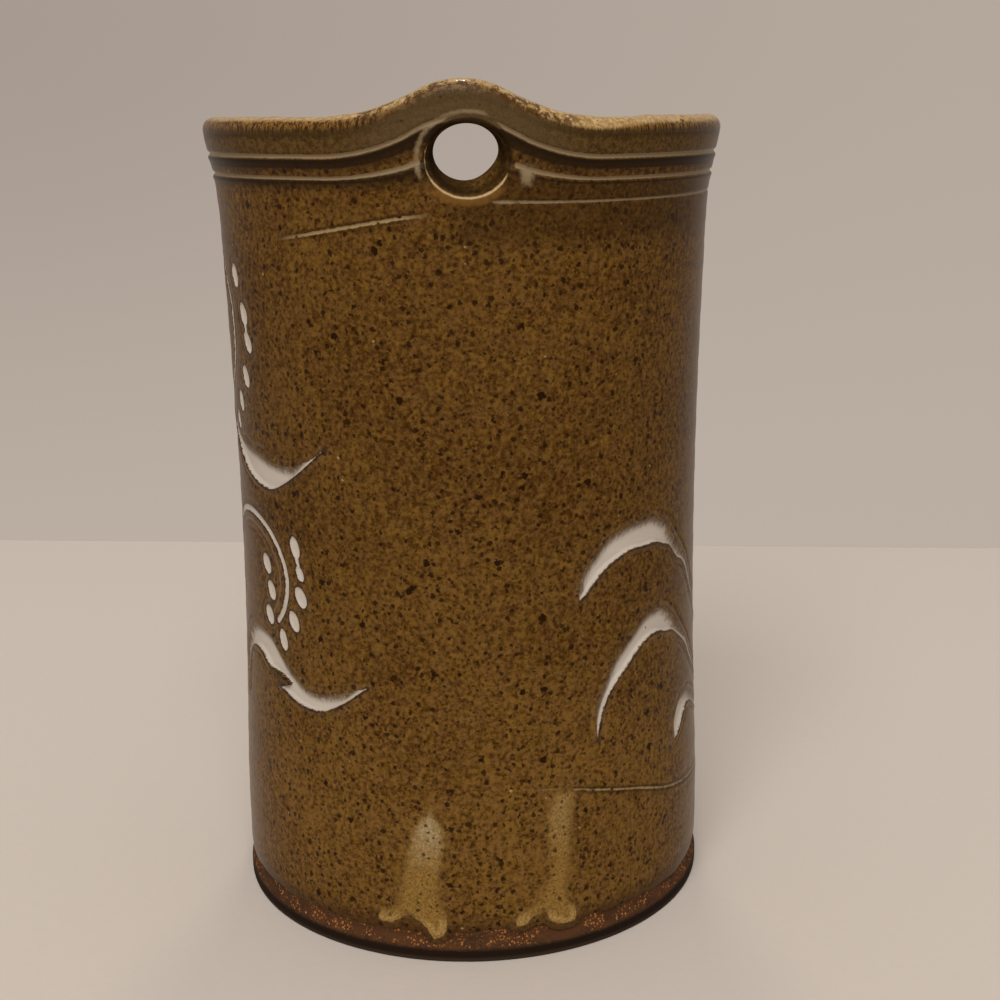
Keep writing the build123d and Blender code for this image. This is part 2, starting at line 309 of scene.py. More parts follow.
def distance_to(line, spots):
    """Distance from spots on the map to a line."""
    start = line[:-1]
    step = np.diff(line, axis=0)
    away = spots[:, None, :] - start
    share = np.clip((away * step).sum(-1) / (step * step).sum(-1), 0, 1)
    return np.sqrt(((away - share[..., None] * step) ** 2).sum(-1)).min(1)


def inside(outline, spots):
    """Whether spots lie inside a closed outline."""
    x, y = spots[:, :1], spots[:, 1:]
    start = outline
    end = np.roll(outline, -1, axis=0)
    crosses = (start[:, 1] > y) != (end[:, 1] > y)
    rise = np.where(end[:, 1] == start[:, 1], 1e-9, end[:, 1] - start[:, 1])
    meets = start[:, 0] + (y - start[:, 1]) / rise * (end[:, 0] - start[:, 0])
    return (crosses & (x < meets)).sum(1) % 2 == 1


def depth_in(outline, spots):
    """Depth inside an outline that ends where it starts, negative outside it."""
    away = distance_to(outline, spots)
    return np.where(inside(outline[:-1], spots), away, -away)


def crescent_fields(name, spots):
    """Depth inside a crescent, and distances from its soft and crisp edges, in millimetres."""
    soft, crisp = (line_through(edge) for edge in crescents[name])
    within = inside(np.concatenate([soft, crisp[::-1]]), spots)
    to_soft = distance_to(soft, spots)
    to_crisp = distance_to(crisp, spots)
    depth = np.minimum(to_soft, to_crisp) * np.where(within, 1, -1)
    to_crisp = np.where(within, to_crisp, -to_crisp)
    if name in chips:
        chipped = depth_in(on_map(chips[name]), spots)
        depth = np.minimum(depth, -chipped)
        to_crisp = to_crisp + (-0.35 - to_crisp) * ramp(-0.35, 0.25, chipped)
    return depth, np.where(within, to_soft, -to_soft), to_crisp


def leaf_line(name, shrink):
    """A leaf loop's line on the map, open below its foot."""
    (azimuth, height), half_width, half_height, foot = leaves[name]
    gap = math.asin(min(1, foot / half_height))
    turn = np.linspace(-gap, math.pi + gap, 70)
    middle = math.radians(azimuth) * map_radius
    across = np.arcsin((half_width - shrink) * np.cos(turn) / map_radius) * map_radius
    return np.column_stack([middle + across, height + (half_height - shrink) * np.sin(turn)])


loop_half_width, faint_half_width, faint_inset = 0.66, 0.35, 2.4


def leaf_fields(name, spots):
    """Depth inside a leaf loop's line, and inside the faint line within it."""
    loop = loop_half_width - distance_to(leaf_line(name, 0), spots)
    return loop, faint_half_width - distance_to(leaf_line(name, faint_inset), spots)


dot_lean, neck_half_width = 0.18, 0.55


def dot_fields(name, spots):
    """Depth inside a row of dots and the necks between them."""
    depth = np.full(len(spots), -far_off)
    for azimuth, height, width, tall in dots[name]:
        turn = np.linspace(0, 2 * math.pi, 40)
        middle = on_map([(azimuth, height)])[0]
        lean = dot_lean * np.sin(turn) * width
        oval = middle + np.column_stack([width / 2 * np.cos(turn) - lean, tall / 2 * np.sin(turn)])
        depth = np.maximum(depth, depth_in(oval, spots))
    if name in necks:
        depth = np.maximum(depth, neck_half_width - distance_to(on_map(necks[name]), spots))
    return depth


def scratch_fields(name, spots):
    """Depth inside a scratched line, and how strongly it shows there: it fades at both ends."""
    places, half_width = scratches[name]
    path = line_through(places)
    share = (spots[:, 0] - path[0, 0]) / (path[-1, 0] - path[0, 0])
    return half_width - distance_to(path, spots), ramp(-0.05, 0.3, share) * ramp(1.04, 0.8, share)


def stroke_depth(name, spots):
    """Depth inside any carved stroke."""
    if name in scratches:
        return scratch_fields(name, spots)[0]
    if name in crescents:
        return crescent_fields(name, spots)[0]
    if name in leaves:
        return np.maximum(*leaf_fields(name, spots))
    return dot_fields(name, spots)


strokes = [*crescents, *leaves, *dots, *scratches]
print("carved strokes:", len(strokes))

# %% [markdown]
# ## The wall's coat
# The glaze outside is one grid over angle and height. Under each stroke the grid is pushed in, so that the
# finer stroke laid there shows and the coat does not. Its lower edge is wavy, as glaze is where the
# potter wiped the foot.

# %% Wall coat
stroke_room, dot_room = 1.5, 3
crescent_sink, other_sink = 1.3, 0.6


def map_box(name):
    """A stroke's reach on the flat map, as two corners."""
    if name in crescents:
        flat = np.concatenate([line_through(edge) for edge in crescents[name]])
    elif name in leaves:
        flat = leaf_line(name, 0)
    elif name in scratches:
        flat = line_through(scratches[name][0])
    else:
        flat = on_map([place[:2] for place in dots[name]])
        flat = np.concatenate([flat - dot_room, flat + dot_room])
    return flat.min(0) - stroke_room - 1, flat.max(0) + stroke_room + 1


def sink_under_strokes(azimuth, height):
    """How far the coat is pushed in below the strokes."""
    sink = np.zeros(azimuth.size)
    for name in strokes:
        low, high = map_box(name)
        for turn in (-1, 0, 1):
            across = (azimuth.ravel() + 2 * math.pi * turn) * map_radius
            spots = np.column_stack([across, height.ravel()])
            near = ((spots > low) & (spots < high)).all(1)
            if near.any():
                deep = crescent_sink if name in crescents else other_sink
                under = deep * ramp(-1.1, -0.1, stroke_depth(name, spots[near]))
                sink[near] = np.maximum(sink[near], under)
    return sink.reshape(azimuth.shape)


coat_rows, coat_columns = 140, 336
turns = all_round(coat_columns)
glaze_edge = bare_foot + 0.7 + hand(turns, 0, 0.7, 11) + 0.25 * np.sin(23 * turns) * np.sin(7 * turns + 1)
levels = np.linspace(0, 1, coat_rows)[:, None]
coat_height = glaze_edge + levels * (collar_foot - glaze_edge)
coat_azimuth = np.broadcast_to(turns, coat_height.shape)
edge_roll = 0.35 * np.exp(-(coat_height - glaze_edge) / 0.8)
coat_radius = wall_radius(coat_azimuth, coat_height) - edge_roll
coat_radius = coat_radius - sink_under_strokes(coat_azimuth, coat_height)
wall_coat = make_piece(
    "wall_coat", at(coat_azimuth, coat_radius, coat_height).reshape(-1, 3),
    grid_quads(coat_rows, coat_columns, True), coat, {}, ["outer_glaze"])

# %% Clay wall behind the coat
wall_rows, wall_columns = 24, 120
below_glaze, wall_clay_thick = 1.9, 3.4
clay_levels = np.linspace(side("clay_floor", HIGH, "Z"), collar_foot, wall_rows)[:, None]
clay_turns = all_round(wall_columns)
behind_coat = wall_radius(clay_turns, clay_levels) - below_glaze
wall_clay = make_piece(
    "wall_clay", at(clay_turns, behind_coat, clay_levels).reshape(-1, 3),
    grid_quads(wall_rows, wall_columns, True), wall_clay_thick, {}, ["clay_wall"])

# %% [markdown]
# ## Carved strokes and white slip
# Each stroke is a fine patch of quads on the wall, a fifth of a millimetre apart. The crisp edge drops
# steeply with a small burr, and the soft edge rises gently, the way a loop tool enters and leaves
# clay. The patch reaches a little past the stroke, where it lies a hair above the coat and then dips
# under it.

# %% Patches on the wall
patch_step, patch_thick = 0.22, 0.3


def other_strokes(name, spots):
    """How deep spots of the map lie in any stroke but the named one."""
    most = np.full(len(spots), -far_off)
    for other in strokes:
        low, high = map_box(other)
        near = ((spots > low) & (spots < high)).all(1)
        if other != name and near.any():
            most[near] = np.maximum(most[near], stroke_depth(other, spots[near]))
    return most


def patch(name, low, high, depth_at):
    """Spots, quads and depth of the grid cells in a shape or near it, and in no other stroke."""
    across = np.arange(low[0], high[0], patch_step)
    up = np.arange(low[1], high[1], patch_step)
    spots = np.stack(np.meshgrid(across, up), -1).reshape(-1, 2)
    depth = depth_at(spots)
    quads = grid_quads(len(up), len(across), False)
    wanted = (depth > -stroke_room) & (depth + 0.2 > other_strokes(name, spots))
    quads = quads[wanted[quads].all(1)]
    kept, quads = np.unique(quads, return_inverse=True)
    return spots[kept], quads.reshape(-1, 4), depth[kept]


def on_wall(spots, lift):
    """Spots of the map as points on the wall, lifted off it."""
    azimuth = spots[:, 0] / map_radius
    return at(azimuth, wall_radius(azimuth, spots[:, 1]) + lift, spots[:, 1])


def lie(depth):
    """A patch's lift outside its stroke: a hair above the coat, dipping under it at the border."""
    return 0.02 - 0.06 * ramp(0.6, stroke_room, -depth)


def stroke_patch(name):
    """The patch of a carved stroke: spots, quads and depth."""
    return patch(name, *map_box(name), lambda spots: stroke_depth(name, spots))


pieces_in_slip = []


def lay_slip(name, spots, lift, quads, fields):
    """A stroke's patch as a piece that the slip will colour."""
    pieces_in_slip.append(make_piece(
        name, on_wall(spots, lift), quads, patch_thick, fields, [name]))


for name in crescents:
    spots, quads, depth = stroke_patch(name)
    _, soft, crisp = crescent_fields(name, spots)
    scoop = 0.85 * ramp(0, 0.45, crisp) * ramp(0, 2.6, soft) + 0.1 * ramp(0, 0.2, depth)
    burr = 0.1 * bell(-0.35, 0.3, crisp) * ramp(0.6, 0.2, depth)
    fields = {"depth": depth, "soft": soft, "crisp": crisp, "faint": -far_off}
    lay_slip(name, spots, lie(depth) + burr - scoop, quads, fields)

# %% Leaf loops and dots
for name in leaves:
    spots, quads, depth = stroke_patch(name)
    line, faint = leaf_fields(name, spots)
    groove = 0.3 * ramp(-0.15, 0.35, line) + 0.12 * ramp(-0.1, 0.3, faint)
    fields = {"depth": line, "soft": far_off, "crisp": line, "faint": faint}
    lay_slip(name, spots, lie(depth) - groove, quads, fields)
for name in dots:
    spots, quads, depth = stroke_patch(name)
    hollow = 0.38 * ramp(-0.1, 0.7, depth)
    fields = {"depth": depth, "soft": far_off, "crisp": depth, "faint": -far_off}
    lay_slip(name, spots, lie(depth) - hollow, quads, fields)

# %% [markdown]
# ## Runs of thick glaze and scratched lines
# Near the foot two thick runs slid down and stopped in small curled feet. They are raised patches,
# pale where the glaze is thickest. Two thin lines, one scratched under the collar and one left by the
# throwing near the foot, are narrow patches of the same kind.

# %% Glaze runs
glaze_runs = {
    "glaze_run_left": [(-9.8, 34.4), (-13.8, 30.0), (-15.8, 24.0), (-17.2, 18.0), (-18.4, 12.6), (-22.4, 9.8),
                       (-22.6, 8.2), (-19.4, 7.7), (-15.6, 9.8), (-11.4, 7.6), (-9.2, 4.9), (-7.0, 6.2),
                       (-6.4, 9.0), (-7.8, 15.7), (-6.6, 22.0), (-6.2, 29.0)],
    "glaze_run_right": [(19.6, 36.6), (16.8, 33.0), (16.6, 25.0), (16.8, 18.0), (13.6, 12.6), (9.6, 9.8),
                        (9.4, 7.4), (11.2, 7.4), (13.8, 9.4), (16.0, 9.8), (17.4, 7.6), (20.2, 6.4),
                        (23.4, 6.8), (23.8, 9.2), (22.0, 13.0), (22.4, 20.0), (23.4, 30.0), (23.2, 36.0)],
}
run_steps = 110
runs = []
for name, outline in glaze_runs.items():
    edge = line_through([*outline, outline[0]], run_steps)
    low, high = edge.min(0) - stroke_room, edge.max(0) + stroke_room
    spots, quads, depth = patch(name, low, high, lambda spots: depth_in(edge, spots))
    toe = ramp(11.0, 8.0, spots[:, 1])
    fields = {"depth": depth, "toe": toe, "creamy": 1.0 if name == "glaze_run_left" else 0.2}
    swell = 0.14 * ramp(-0.8, 1.6, depth) + 0.32 * toe * ramp(-0.3, 0.9, depth)
    runs.append(make_piece(
        name, on_wall(spots, lie(depth) + swell), quads, patch_thick, fields, [name]))

# %% Scratched lines
scratch_pieces = []
for name in scratches:
    spots, quads, depth = stroke_patch(name)
    fade = scratch_fields(name, spots)[1]
    lift = lie(depth) + 0.05 * bell(-0.5, 0.5, depth) - 0.2 * fade * ramp(-0.1, 0.3, depth)
    fields = {"depth": depth, "fade": fade}
    scratch_pieces.append(make_piece(
        name, on_wall(spots, lift), quads, patch_thick, fields, []))

# %% [markdown]
# ## Collar, lug and hole
# The rim's line rises over the lug and dips in a scoop on the far side. Near the lug the rings bend up with
# the rim, because the maker pulled the lug up after cutting them: heights are stretched there. On the far
# side the scoop was cut through the rings, so the heights are squeezed below it but the rings stay level.

# %% Rim line
lug_rise = lug_top - rim_level
lug_arcs = (17.0, 38.5)
scoop_depth = 18.5
scoop_arcs = (36.5, 24.5)
lip_drop = 3.0


def lug_side(azimuth):
    """Whether a place lies on the lug's half of the pot."""
    return np.cos(azimuth) > 0


def swell(x, rise, arcs):
    """Height of a hill made of a crest arc and two flank arcs, at a place across it."""
    crest, flank = arcs
    half = math.sqrt(rise * (2 * (crest + flank) - rise))
    x = np.abs(x)
    turn = crest * half / (crest + flank)
    top = rise - crest + np.sqrt(np.maximum(crest**2 - x**2, 0))
    foot = flank - np.sqrt(np.maximum(flank**2 - np.maximum(half - x, 0) ** 2, 0))
    return np.where(x < turn, top, foot)


def unlevel(x, height):
    """How far the rings and the rim stray from level, from the left to the right."""
    along = (-50, -25, 0, 25, 50)
    low = smooth_line(along, (0.3, 0.3, 0.0, -0.25, -0.25), x)
    high = smooth_line(along, (0.9, 0.85, 0.2, 0.35, 0.35), x)
    return low * ramp(149, 156, height) + (high - low) * ramp(158.5, 165.5, height)


def lug_pull(x, height):
    """How far the pulled-up lug lifts a place of the collar, with the strays of the rim."""
    return swell(x, lug_rise, lug_arcs) * ramp(152.5, 161.5, height) + unlevel(x, height)


def collar_height(azimuth, height, inset):
    """Final height of a collar point, from its height before the lug and the scoop were made."""
    wide = (lip_radius - inset) * np.sin(azimuth)
    lifted = height + lug_pull(wide, height)
    squeeze = 1 - swell(wide, scoop_depth, scoop_arcs) / (rim_level - collar_foot)
    squeeze = np.where(height > collar_foot, squeeze, 1)
    cut = collar_foot + (height - collar_foot) * squeeze + unlevel(wide, height)
    return np.where(lug_side(azimuth), lifted, cut)


def before_pull(x, height):
    """Height that a place near the lug had before it was pulled up."""
    start = np.array(height, float)
    for _ in range(12):
        step = 0.01
        slope = 1 + (lug_pull(x, start + step) - lug_pull(x, start)) / step
        start = start - (start + lug_pull(x, start) - height) / np.maximum(slope, 0.3)
    return start


rings = (161.35, 157.6, 153.45)
ring_cut, ring_ridge = 0.4, 0.2


def third_ring(azimuth):
    """How strongly the lowest ring shows: it only runs along the right."""
    degrees = np.degrees(azimuth)
    return ramp(2, 8, degrees) * ramp(95, 70, degrees)


def ring_depth(azimuth, height):
    """How deep the cut rings are at a place, with a ridge below each of the upper two."""
    cut = bell(rings[0], 0.36, height) + bell(rings[1], 0.36, height)
    cut = cut + 0.8 * third_ring(azimuth) * bell(rings[2], 0.34, height)
    ridge = bell(rings[0] - 0.9, 0.5, height) + bell(rings[1] - 0.9, 0.5, height)
    return ring_cut * cut - ring_ridge * ridge


print("the lug rises", round(lug_rise, 1), "mm and the scoop drops", scoop_depth, "mm")

# %% A grid with a round hole
hole_middle = np.array([0.87, 161.3])
hole_radii = np.array([7.42, 6.62])
bore_middle = np.array([0.6, 162.4])
bore_radii = np.array([6.05, 5.15])
bore_pinch = 0.55
wall_thick, lip_thick = 6.0, 6.5


def ring_line(azimuth, before, final):
    """Height that the rings follow: as it was before the pull in front, and level on the far side."""
    level = final - unlevel(lip_radius * np.sin(azimuth), final)
    return np.where(lug_side(azimuth), before, level)


def thickness_at(line):
    """Thickness of the glazed wall in the collar, which grows towards the lip."""
    return wall_thick + (lip_thick - wall_thick) * ramp(152, 164, line)


def skin_radius(azimuth, height, final, inset):
    """Radius of the collar's outer or inner skin."""
    line = ring_line(azimuth, height, final)
    radius = wall_radius(azimuth, line)
    return np.where(inset > 0, radius - thickness_at(line), radius - ring_depth(azimuth, line))


def ring_round(middle, radii, extra, turn):
    """Points of an oval about the hole, in x and height."""
    wide, tall = radii[0] + extra, radii[1] + extra
    return middle + np.column_stack([wide * np.cos(turn), tall * np.sin(turn)])


rings_to_hole = 14


def holed_skin(azimuths, heights, inset, hole, first_extra, stations):
    """Skin of the collar with a block of cells round the hole replaced by rings that follow its edge.

    The stations are ovals beyond the first one, each as (middle, radii, extra width, depth behind the skin).
    The results are points, quads and each point's height before the lug was pulled.
    """
    azimuth, height = np.meshgrid(azimuths, heights)
    final = collar_height(azimuth, height, inset)
    radius = skin_radius(azimuth, height, final, inset)
    x = radius * np.sin(azimuth)
    middle, radii = hole
    reach = radii + first_extra + 1.2
    count = len(azimuths)
    columns = np.flatnonzero((np.abs(azimuths) < 0.6) & (np.abs(x.mean(0) - middle[0]) < reach[0]))
    up_the_lug = final[:, count // 2]
    rows = np.flatnonzero((up_the_lug > middle[1] - reach[1]) & (up_the_lug < middle[1] + reach[1]))
    left, right, low, high = columns[0] - 1, columns[-1] + 1, max(rows[0] - 1, 0), rows[-1] + 1
    quads = grid_quads(len(heights), count, True)
    cell_row, cell_column = np.divmod(np.arange(len(quads)), count)
    block = (cell_row >= low) & (cell_row < high) & (cell_column >= left) & (cell_column < right)
    quads = [quads[~block]]
    edge = ([(low, c) for c in range(left, right)] + [(r, right) for r in range(low, high)]
            + [(high, c) for c in range(right, left, -1)] + [(r, left) for r in range(high, low, -1)])
    ring = np.array([r * count + c for r, c in edge])
    flat = np.column_stack([x.ravel()[ring], final.ravel()[ring]])
    turn = np.arctan2((flat[:, 1] - middle[1]) / radii[1], (flat[:, 0] - middle[0]) / radii[0])
    points = [at(azimuth, radius, final).reshape(-1, 3)]
    before = [height.ravel()]
    total = azimuth.size
    first = ring_round(middle, radii, first_extra, turn)
    shares = np.linspace(0, 1, rings_to_hole + 1)[1:]
    steps = [(flat + (first - flat) * share, 0.0) for share in shares]
    for place, size, extra, behind in stations:
        pinch = bore_pinch * ramp(0.6, 4.0, behind) * ramp(1.2, 0.3, extra) * bell(-0.7, 0.65, turn)
        steps.append((ring_round(place, size, extra - pinch, turn), behind))
    for spots, behind in steps:
        start = before_pull(spots[:, 0], spots[:, 1])
        turned = np.arcsin(spots[:, 0] / lip_radius)
        here = skin_radius(turned, start, spots[:, 1], inset) - behind
        points.append(np.column_stack([spots[:, 0], -np.sqrt(here**2 - spots[:, 0] ** 2), spots[:, 1]]))
        before.append(start)
        fresh = total + np.arange(len(ring))
        quads.append(np.column_stack([ring, np.roll(ring, -1), np.roll(fresh, -1), fresh]))
        ring = fresh
        total += len(ring)
    return np.concatenate(points), np.concatenate(quads), np.concatenate(before)


def hole_gap(points):
    """Distance outside the hole's outer edge, about, and how far up and across it a point lies (-1 to 1)."""
    away = (points[:, [0, 2]] - hole_middle) / hole_radii
    reach = np.hypot(*away.T)
    gap = np.where(points[:, 1] < 0, (reach - 1) * hole_radii.mean(), 99.0)
    across, up = (away / np.maximum(reach, 1e-9)[:, None]).T
    return gap, up, across


def near_lug(x):
    """1 on the lug's face, fading out along the rim on both sides."""
    return ramp(26, 10, np.abs(x))


def cream_reach(x):
    """How far the cream edge reaches down from the rim: furthest to the right of the lug."""
    along = (-50, -24, -12, 0, 9, 16, 27, 34, 50)
    return smooth_line(along, (0.45, 0.5, 0.9, 0.6, 0.9, 1.7, 1.8, 1.1, 0.9), x)


def rusty(x):
    """Where rusty streaks hang below the lip: along the left and the far right."""
    return np.maximum(np.maximum(ramp(-10, -17, x), ramp(27, 36, x)), 0.12)


# %% Collar coat with the hole's lining
rim_columns = 540
collar_top = rim_level - lip_drop
spread = [np.arange(collar_foot, collar_top, 0.6), *(ring + np.arange(-0.9, 0.91, 0.15) for ring in rings)]
collar_rows = np.unique(np.round(np.append(np.concatenate(spread), collar_top), 2))
collar_rows = collar_rows[np.append(np.diff(collar_rows) > 0.08, True)]
wall_depth, hole_room = 6.4, 1.5
hole = (hole_middle, hole_radii)
bore = (bore_middle, bore_radii)
lining = [(*hole, extra, behind) for extra, behind in ((0.8, 0.06), (0.35, 0.25), (0.08, 0.6), (-0.1, 1.1))]
for share in (0.2, 0.4, 0.6, 0.8):
    between = [start + (end - start) * share for start, end in zip(hole, bore)]
    lining.append((*between, -0.1, 1.1 + (wall_depth - 2.0) * share))
for extra, beyond in ((0.0, -0.7), (0.15, -0.3), (0.5, -0.08), (1.2, 0.02)):
    lining.append((*bore, extra, wall_depth + beyond))
points, quads, before = holed_skin(all_round(rim_columns), collar_rows, 0, hole, hole_room, lining)
gap, up, across = hole_gap(points)
azimuth = np.arctan2(points[:, 0], -points[:, 1])
sink = sink_under_strokes(azimuth, points[:, 2]) * ramp(156, 153, points[:, 2])
points = points - at(azimuth, sink, 0.0)
print("collar rows:", len(collar_rows), "and ovals in the hole's lining:", len(lining))

# %% Where the collar's colours lie
in_front = lug_side(azimuth)
line = ring_line(azimuth, before, points[:, 2])
third = third_ring(azimuth)
in_hole = ramp(0.25, -0.35, gap)
pale = np.maximum(bell(rings[0], 0.42, line), bell(rings[1], 0.4, line))
pale = np.maximum(pale, 0.75 * third * bell(rings[2], 0.36, line))
left_ring = bell(1.8, 0.8, gap) * ramp(-0.8, -0.2, up) * ramp(0.75, 0.2, across)
smear = bell(11.6, 1.8, points[:, 0]) * bell(158.3, 2.6, points[:, 2]) * in_front
stop = 1 - ramp(1.4, 0.7, gap)
pale = np.maximum(pale * stop, np.maximum(0.64 * left_ring, 0.8 * smear)) * (1 - in_hole)
shade = np.maximum(bell(rings[0] - 0.9, 0.4, line), 0.7 * bell(rings[1] - 0.85, 0.4, line))
shade = np.maximum(shade, 0.35 * bell(rings[0] + 0.8, 0.3, line))
shade = np.maximum(shade, np.where(in_front, bell(0.3, 0.5, gap) * ramp(-0.65, 0.0, up), 0))
weak_band = 0.34 * ramp(rings[1] + 0.3, rings[1] + 0.9, line)
band = np.maximum(ramp(rings[1] + 1.2, rings[1] + 2.1, line), weak_band)
band = band * ramp(rings[0] - 0.3, rings[0] - 0.9, line)
# Painted shade below the second ring, under its ridge, added to the band field.
below = ramp(rings[1] - 4.0, rings[1] - 0.6, line) * ramp(rings[1], rings[1] - 0.4, line)
band = np.maximum(band, 0.55 * (below * (1 - 0.7 * third)))
# Thin pale glaze on the hole's outer edge, with a painted highlight along its lower and left side.
left_edge_glaze_and_highlight = 0.6 * ramp(0.7, 0.2, up) * ramp(0, -0.3, across)
edge_glaze_and_highlight = bell(0.3, 0.22, gap) * np.maximum(ramp(-0.2, -0.6, up), left_edge_glaze_and_highlight)
ochre = bell(1.1, 1.0, gap) * ramp(-0.45, -0.85, up)
dusk = ramp(-7, 3, points[:, 0]) * ramp(143.5, 148.5, line) * ramp(rings[1] - 0.2, rings[1] - 0.9, line)
dusk = dusk * ramp(90, 55, np.degrees(np.abs(azimuth)))
fields = {"pale": pale, "shade": shade, "band": band * (1 - in_hole), "dusk": dusk * (1 - in_hole),
          "edge_glaze_and_highlight": edge_glaze_and_highlight, "ochre": ochre, "hole": in_hole, "lit": ramp(-0.5, 0.5, across),
          "inner": np.where(in_front, bell(-0.8, 0.6, gap), 0), "drop": rim_level - line,
          "near": near_lug(points[:, 0]) * in_front, "rusty": rusty(points[:, 0]),
          "reach": cream_reach(points[:, 0])}
collar_coat = make_piece("collar_coat", points, quads, coat, fields, ["collar_glaze"])

# %% Clay of the collar and the lug
clay_rows, clay_columns = np.linspace(collar_foot, collar_top, 16), 200
below_coat, collar_clay_thick = 0.9, 4.4
scoop_lowering = 0.24
points, quads, _ = holed_skin(all_round(clay_columns), clay_rows, 0, hole, hole_room, [])
points = points - below_coat * sheet_normals(points, quads)
turn, height = np.arctan2(points[:, 0], -points[:, 1]), points[:, 2]
lowered = scoop_lowering * ramp(5, 30, points[:, 1]) * np.maximum(height - collar_foot, 0)
points = points - at(turn, wall_radius(turn, height) - wall_radius(turn, height - lowered), lowered)
corners = points[quads]
turn_of_quad = np.arctan2(corners[:, :, 0].mean(1), -corners[:, :, 1].mean(1))
in_lug = np.abs(turn_of_quad) < math.asin(side("hanging_lug", HIGH, "X") / lip_radius)
collar_clay = make_piece(
    "collar_clay", points, quads[~in_lug], collar_clay_thick, {}, ["clay_collar"])
lug_clay = make_piece(
    "lug_clay", points, quads[in_lug], collar_clay_thick, {}, ["hanging_lug"])

# %% [markdown]
# ## Lip
# The lip is the round top of the wall. The glaze is thin there and breaks to a warm honey colour, with
# darker streaks where it slid down. The section is walked from the outside over the top to the inside,
# and the rim's line carries it round the pot.

# %% Rounded lip
lip_round = 2.7
quarter = np.linspace(0, math.pi / 2, 11)
lip_inset = np.concatenate([[0, 0], lip_round * (1 - np.cos(quarter)), [3.0, 3.25, 3.5],
                            lip_thick - lip_round + lip_round * np.sin(quarter), [lip_thick, lip_thick]])
lip_fall = np.concatenate([[lip_drop, 2.85], lip_round * (1 - np.sin(quarter)), [-0.04, -0.05, -0.04],
                           lip_round * (1 - np.cos(quarter)), [2.85, lip_drop]])
azimuth, inset = np.meshgrid(all_round(rim_columns), lip_inset)
fall = np.broadcast_to(lip_fall[:, None], azimuth.shape)
height = rim_level - fall
final = collar_height(azimuth, height, inset)
line = ring_line(azimuth, height, final)
uneven = hand(azimuth, 0, 0.16, 5) + 0.08 * np.sin(31 * azimuth) * np.sin(5 * azimuth)
lip_top = final + uneven * ramp(2.6, 0.5, fall)
radius = wall_radius(azimuth, line) - inset * thickness_at(line) / lip_thick
sideways = (radius * np.sin(azimuth)).ravel()
near = near_lug(sideways) * lug_side(azimuth).ravel()
fields = {"drop": fall.ravel(), "near": near, "rusty": rusty(sideways), "reach": cream_reach(sideways)}
lip_coat = make_piece(
    "lip_coat", at(azimuth, radius, lip_top).reshape(-1, 3), grid_quads(*azimuth.shape, True),
    coat, fields, ["rim_glaze"])

# %% [markdown]
# ## Inside
# The inside has the same glaze, poured in and out again. Its sheet runs from the lip down the wall, round
# the inner corner and over the floor, where the wheel left a shallow spiral.

# %% Liner
inner_rows = np.linspace(collar_foot, collar_top, 36)
inner_columns = all_round(280)
bore_room = 1.2
points, quads, _ = holed_skin(inner_columns, inner_rows, lip_thick, bore, bore_room, [])
corner = 5.0
down = np.linspace(collar_foot, floor_face + corner, 60)[1:, None]
wall_part = at(inner_columns, wall_radius(inner_columns, down) - wall_thick, down)
inner_radius = wall_radius(inner_columns, floor_face + corner) - wall_thick
bend = np.linspace(0, math.pi / 2, 9)[1:, None]
bent_in, bent_down = corner * (1 - np.cos(bend)), corner * (1 - np.sin(bend))
corner_part = at(inner_columns, inner_radius - bent_in, floor_face + bent_down)
floor_radius = np.linspace(1, 0.01, 40)[1:, None] * (inner_radius - corner)
spiral = 0.18 * np.sin(2 * math.pi * (floor_radius / 7.0) + inner_columns) * ramp(0, 6, floor_radius)
floor_part = at(inner_columns, floor_radius, floor_face + spiral * ramp(42, 36, floor_radius))
lower = np.concatenate([wall_part, corner_part, floor_part])
first_row = np.arange(len(inner_columns))[None, :]
lower_rows = len(points) + np.arange(lower[..., 0].size).reshape(lower.shape[:2])
rows = np.concatenate([first_row, lower_rows])
rows = np.column_stack([rows, rows[:, 0]])
lower_quads = np.stack([rows[1:, :-1], rows[1:, 1:], rows[:-1, 1:], rows[:-1, :-1]], -1).reshape(-1, 4)
points = np.concatenate([points, lower.reshape(-1, 3)])
quads = np.concatenate([quads, lower_quads])[:, ::-1]
liner = make_piece("liner", points, quads, coat, {}, ["liner_glaze"])

# %% [markdown]
# ## Foot
# Below the glaze the bare clay shows, toasted brown, and flares a little to its lower edge, which is painted dark
# as shade under the foot. The underside was cut off the wheel with a wire, which leaves faint lines.

# %% Bare clay foot
foot_columns, foot_thick = 300, 0.6
foot_turns = all_round(foot_columns)
foot_radius, clay_radius = 52.2, 51.33
section = np.array([
    (1.0, 0.25), (14.0, 0.25), (28.0, 0.22), (40.0, 0.2), (44.0, 0.0), (48.2, 0.0), (foot_radius - 0.4, 0.0),
    (foot_radius - 0.1, 0.12), (foot_radius, 0.5), (foot_radius, 2.5), (foot_radius - 0.1, 3.0),
    (foot_radius - 0.5, 4.0), (clay_radius, 4.8), (clay_radius, 8.0)])
steps = np.concatenate([[0], np.cumsum(np.hypot(*np.diff(section, axis=0).T))])
walk = np.unique(np.concatenate([np.linspace(0, steps[4], 40), np.linspace(steps[4], steps[-1], 70)]))
out = np.interp(walk, steps, section[:, 0])[:, None]
height = np.interp(walk, steps, section[:, 1])[:, None]
radius = out + hand(foot_turns, height, 0.08, 8) * ramp(20, 45, out)
cut_face = (out > 1.5) & (out < 43)
wire = 0.05 * np.sin(1.1 * (at(foot_turns, radius, height)[..., 1] + 90)) * cut_face
points = at(foot_turns, radius, height + wire).reshape(-1, 3)
foot_clay = make_piece("foot_clay", points, grid_quads(len(walk), foot_columns, True), foot_thick,
                       {}, ["clay_floor"])

# %% [markdown]
# ## Shader maths
# A material is a small network of nodes. To read it as a sum, one class wraps a socket: adding or
# multiplying two of them adds the Math node. Colours go through a Mix node, since a Math node would grey
# them. Every other node comes from the one method that takes its type, settings and sockets.

# %% A socket that can be added up


